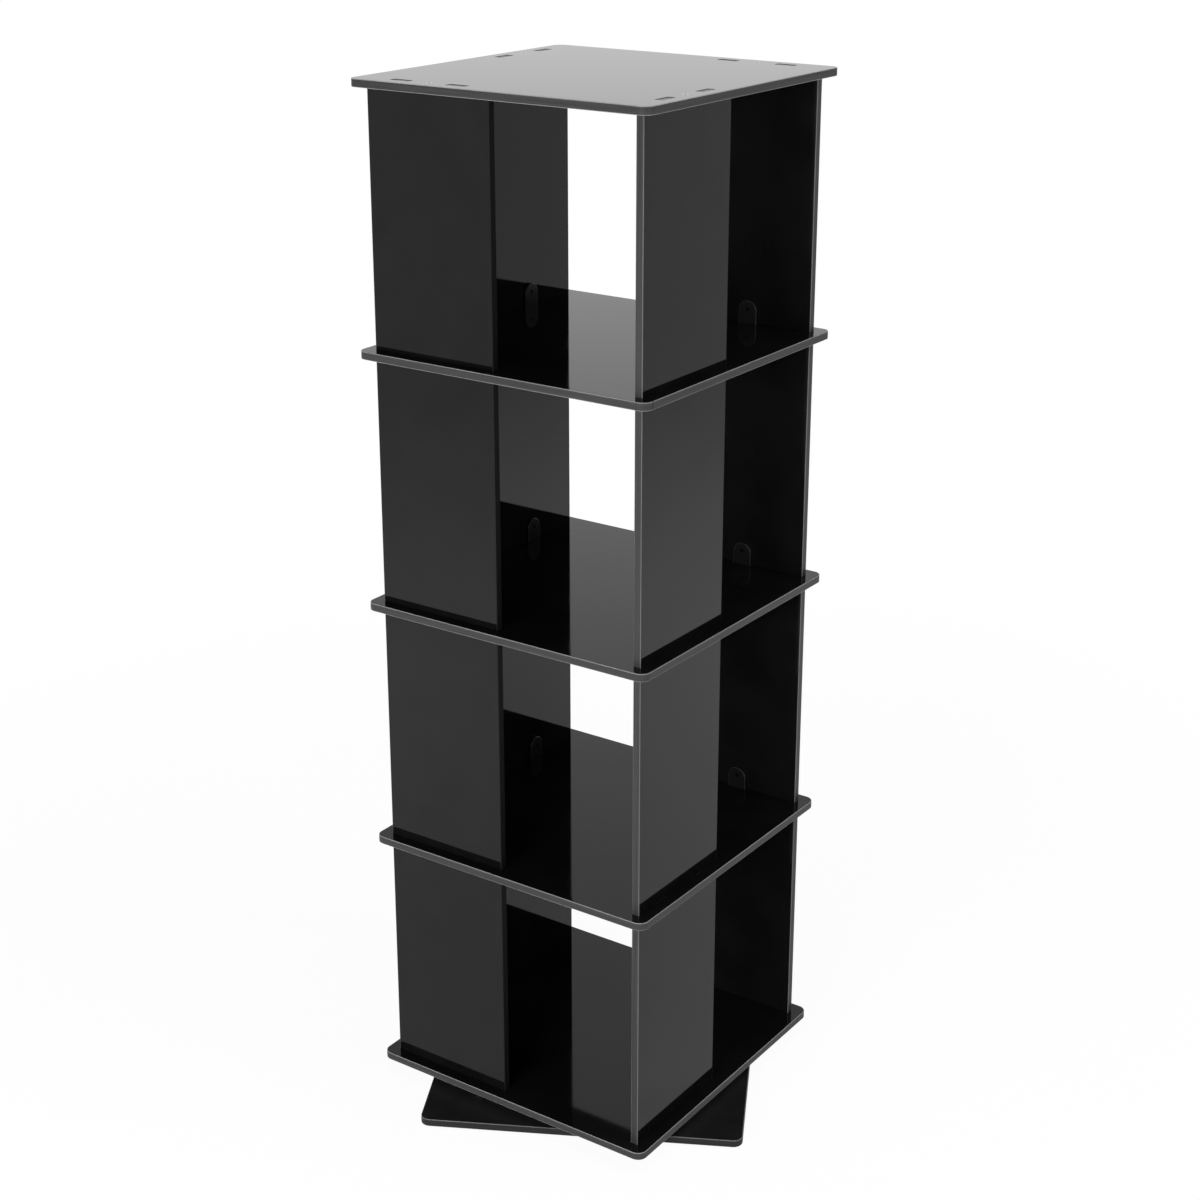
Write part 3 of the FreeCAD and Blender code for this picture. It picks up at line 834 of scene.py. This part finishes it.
def make_level_strip(name, low, high, flat, arris):
    """The strip round a board, its outer edges scraped round and its ends butted by a corner."""
    strip = rounded_square(name, strip_half, STRIP_CORNER_RADIUS, low, high)
    clad(strip, flat, arris)
    with editing(strip):
        pick(strip, "faces", lambda face: abs(face.normal.z) > FACING)
        bpy.ops.mesh.inset(thickness=STRIP_THICK)
        bpy.ops.mesh.bridge_edge_loops()
        bpy.ops.mesh.select_mode(type="EDGE")

        def outer_rim(edge):
            level = abs(edge.verts[0].co.z - edge.verts[1].co.z) < HAIR
            uprights = [face for face in edge.link_faces if abs(face.normal.z) < 1 - FACING]
            outwards = [face for face in uprights if face.normal.dot(face.calc_center_median()) > 0]
            return level and len(outwards) == 1 and len(uprights) == 1

        pick(strip, "edges", outer_rim)
        round_edges(STRIP_ARRIS)
    start = -strip_half + STRIP_CORNER_RADIUS
    gap = block(
        "butt_gap",
        (strip_half - 2 * STRIP_THICK, start + BUTT_GAP / 2, low - STRIP_THICK),
        (strip_half + STRIP_THICK, start + 3 * BUTT_GAP / 2, high + STRIP_THICK),
    )
    return strip, gap


def make_board_strips():
    """The six boards' edge strips: the upper shelf's ends meet by the front right corner."""
    for name in BOARDS + ["base_board"]:
        low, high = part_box(name)
        on_base = name == "base_board"
        materials = (BASE_STRIP, BASE_ARRIS_HIGHLIGHT) if on_base else (LEVEL_STRIP, LEVEL_ARRIS_HIGHLIGHT)
        strip, gap = make_level_strip(name + "_strip", low.z, high.z, *materials)
        if name != "upper_shelf":
            moved(gap, math.pi)
        cut(strip, [gap])
        if on_base:
            moved(strip, BASE_TURN)
            keep_from_gloss(strip)
        finish(strip, [name + "_edge_band"], "base" if on_base else "tower")


def make_upright_strip(name, outer_x, inner_x, flat, arris):
    """The strip on one upright edge of the lowest front panel, its outer edges scraped round."""
    low = (min(outer_x, inner_x), panel_low.y, tier_floor)
    high = (max(outer_x, inner_x), panel_high.y, tier_roof)
    strip = block(name, low, high)
    clad(strip, flat, arris)
    with editing(strip, "EDGE"):
        pick(strip, "edges", lambda e: runs_along(e, 2) and abs(e.verts[0].co.x - outer_x) < HAIR)
        round_edges(STRIP_ARRIS)
    return strip


def make_panel_strips():
    """The strips on both upright edges of every panel, those inside the tower dull, and darker as
    painted shade.
    """
    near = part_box("tier_1_panel_edge_bands")[0].x
    far = panel_high.x + (panel_low.x - near)
    dress = (UPRIGHT_STRIP, UPRIGHT_ARRIS_HIGHLIGHT)
    corner = make_upright_strip("corner_strip", near, near + STRIP_THICK, *dress)
    inner = make_upright_strip("inner_strip", far, far - STRIP_THICK, INNER_STRIP_SHADED, INNER_STRIP_SHADED)
    front = joined("front_strips", [corner, inner])
    around = joined("side_strips", on_sides(front, "side_strips", (0, 0, 0)))
    bpy.data.objects.remove(front)
    for tier in TIERS:
        strips = copied(around, "tier_%d_panel_strips" % tier, 0.0, up_to_tier(tier))
        finish(strips, ["tier_%d_panel_edge_bands" % tier], "tower")
    bpy.data.objects.remove(around)


# --- upright panels -----------------------------------------------------------------------------


def make_panel_blank():
    """The lowest front panel, with its two tenons drawn up from its top."""
    sheet_high = (panel_high.x, panel_high.y, tier_roof)
    panel = block("panel_blank", panel_low, sheet_high)
    clad(panel, LACQUER, CUT_END)
    half = TENON_WIDTH / 2
    with editing(panel):
        for x in tenon_middles:
            for side_x in (x - half, x + half):
                bpy.ops.mesh.select_all(action="SELECT")
                bpy.ops.mesh.bisect(plane_co=(side_x, 0, 0), plane_no=(1, 0, 0))

        def tenon_root(face):
            x = face.calc_center_median().x
            beside = min(abs(x - middle) for middle in tenon_middles)
            return face.normal.z > FACING and beside < half

        pick(panel, "faces", tenon_root)
        rise = (0, 0, panel_high.z - tier_roof)
        bpy.ops.mesh.extrude_region_move(TRANSFORM_OT_translate={"value": rise})
    for face in panel.data.polygons:
        face.material_index = int(face.center.z > tier_roof + HAIR)
    ease(panel, PANEL_EASE)
    return panel


def panel_holes(tier):
    """The cutters for every screw that reaches into the front panel of a tier."""
    long_hole = hole_cutter(TOP_SCREW_LENGTH)
    short_hole = hole_cutter(SPLICE_SCREW_LENGTH)
    found = []
    if tier == TIERS[0]:
        bottom_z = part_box("bottom_board")[0].z
        for x in tenon_middles:
            found.append(copied(long_hole, "hole", 0.0, (x, panel_middle.y, bottom_z), math.pi))
    if tier == TIERS[-1]:
        place = (panel_middle.x, panel_middle.y, board_high.z)
        found.append(copied(long_hole, "hole", 0.0, place))
    floor_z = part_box("tier_%d_panel_front" % tier)[0].z
    heights = []
    if tier != TIERS[0]:
        heights.append(floor_z + SPLICE_SCREW_HEIGHT)
    if tier != TIERS[-1]:
        heights.append(floor_z + tier_roof - tier_floor - SPLICE_SCREW_HEIGHT)
    for height in heights:
        place = (panel_middle.x, splice_high.y, height)
        found.append(copied(short_hole, "hole", 0.0, place, -math.pi / 2))
    for model in (long_hole, short_hole):
        bpy.data.objects.remove(model)
    return found


def make_panels():
    """The sixteen upright panels."""
    blank = make_panel_blank()
    for tier in TIERS:
        model = copied(blank, "drilled_panel", 0.0, up_to_tier(tier))
        cut(model, panel_holes(tier))
        for side in SIDES:
            panel = copied(model, "tier_%d_%s_panel" % (tier, side), quarter(side))
            finish(panel, ["tier_%d_panel_%s" % (tier, side)], "tower")
        bpy.data.objects.remove(model)
    bpy.data.objects.remove(blank)


# --- splices ------------------------------------------------------------------------------------


def make_splice_model():
    """The lowest front splice: a flat bar with round ends, a moulded rim and two screw holes."""
    splice = block("splice_model", splice_low, splice_high)
    clad(splice, SPLICE_PLASTIC, SPLICE_HIGHLIGHT_PLASTIC)
    radius = SPLICE_END * (splice_high.x - splice_low.x)
    with editing(splice, "EDGE"):
        pick(splice, "edges", lambda edge: runs_along(edge, 1))
        bpy.ops.mesh.bevel(offset=radius, segments=SPLICE_END_SEGMENTS, affect="EDGES")
        bpy.ops.mesh.select_all(action="SELECT")
        bpy.ops.mesh.remove_doubles(threshold=HAIR)
        bpy.ops.mesh.select_mode(type="FACE")
        pick(splice, "faces", lambda face: face.normal.y > FACING)
        bpy.ops.mesh.region_to_loop()
        # The rim's faces take the lighter second material: a painted highlight.
        round_edges(SPLICE_RIM)
    cutter = hole_cutter(SPLICE_SCREW_LENGTH)
    low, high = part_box("lower_shelf")
    heights = (high.z + SPLICE_SCREW_HEIGHT, low.z - SPLICE_SCREW_HEIGHT)
    places = [(panel_middle.x, splice_high.y, height) for height in heights]
    cut(splice, [copied(cutter, "hole", 0.0, place, -math.pi / 2) for place in places])
    bpy.data.objects.remove(cutter)
    return splice


def make_splices():
    """The splices of the three shelves, four to a shelf."""
    model = make_splice_model()
    for tier, shelf in zip(TIERS, SHELVES):
        for side in SIDES:
            name = "%s_%s_splice_bar" % (shelf, side)
            splice = copied(model, name, quarter(side), up_to_tier(tier))
            finish(splice, ["%s_splice_%s" % (shelf, side)], "tower")
    bpy.data.objects.remove(model)


# --- pads and bearing ---------------------------------------------------------------------------


def make_pads():
    """The four pads under the base, with a small round at the floor."""
    low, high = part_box("foot_pads")
    middle = PAD_ROUND * PAD_ROUND_MIDDLE
    profile = [
        (PAD_RADIUS, high.z),
        (PAD_RADIUS, low.z + PAD_ROUND),
        (PAD_RADIUS - middle, low.z + middle),
        (PAD_RADIUS - PAD_ROUND, low.z),
    ]
    model = turned("pad", profile, PAD_SIDES)
    spots = [(x, y) for x in (-PAD_REACH, PAD_REACH) for y in (-PAD_REACH, PAD_REACH)]
    pads = joined("base_pads", [copied(model, "pad", 0.0, (x, y, 0)) for x, y in spots])
    bpy.data.objects.remove(model)
    moved(pads, BASE_TURN)
    clad(pads, PAD_RUBBER)
    finish(pads, ["foot_pads"], "base")
    keep_from_gloss(pads)


def dress_bearing():
    """The bearing's own metal and plastic, on the frame's nodes."""
    dress = {
        "bearing_still_plate": BEARING_STEEL,
        "bearing_turning_plate": BEARING_STEEL,
        "bearing_rivet": BEARING_STEEL,
        "bearing_balls": BALL_STEEL,
        "bearing_ball_cage": CAGE_NYLON,
        "bearing_base_screws": SCREW_STEEL,
        "bearing_tower_screws": SCREW_STEEL,
    }
    for name, material in dress.items():
        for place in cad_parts[name].material_slots:
            place.material = material


make_boards()
make_base()
make_board_strips()
make_panels()
make_panel_strips()
make_splices()
make_screws()
make_pads()
dress_bearing()
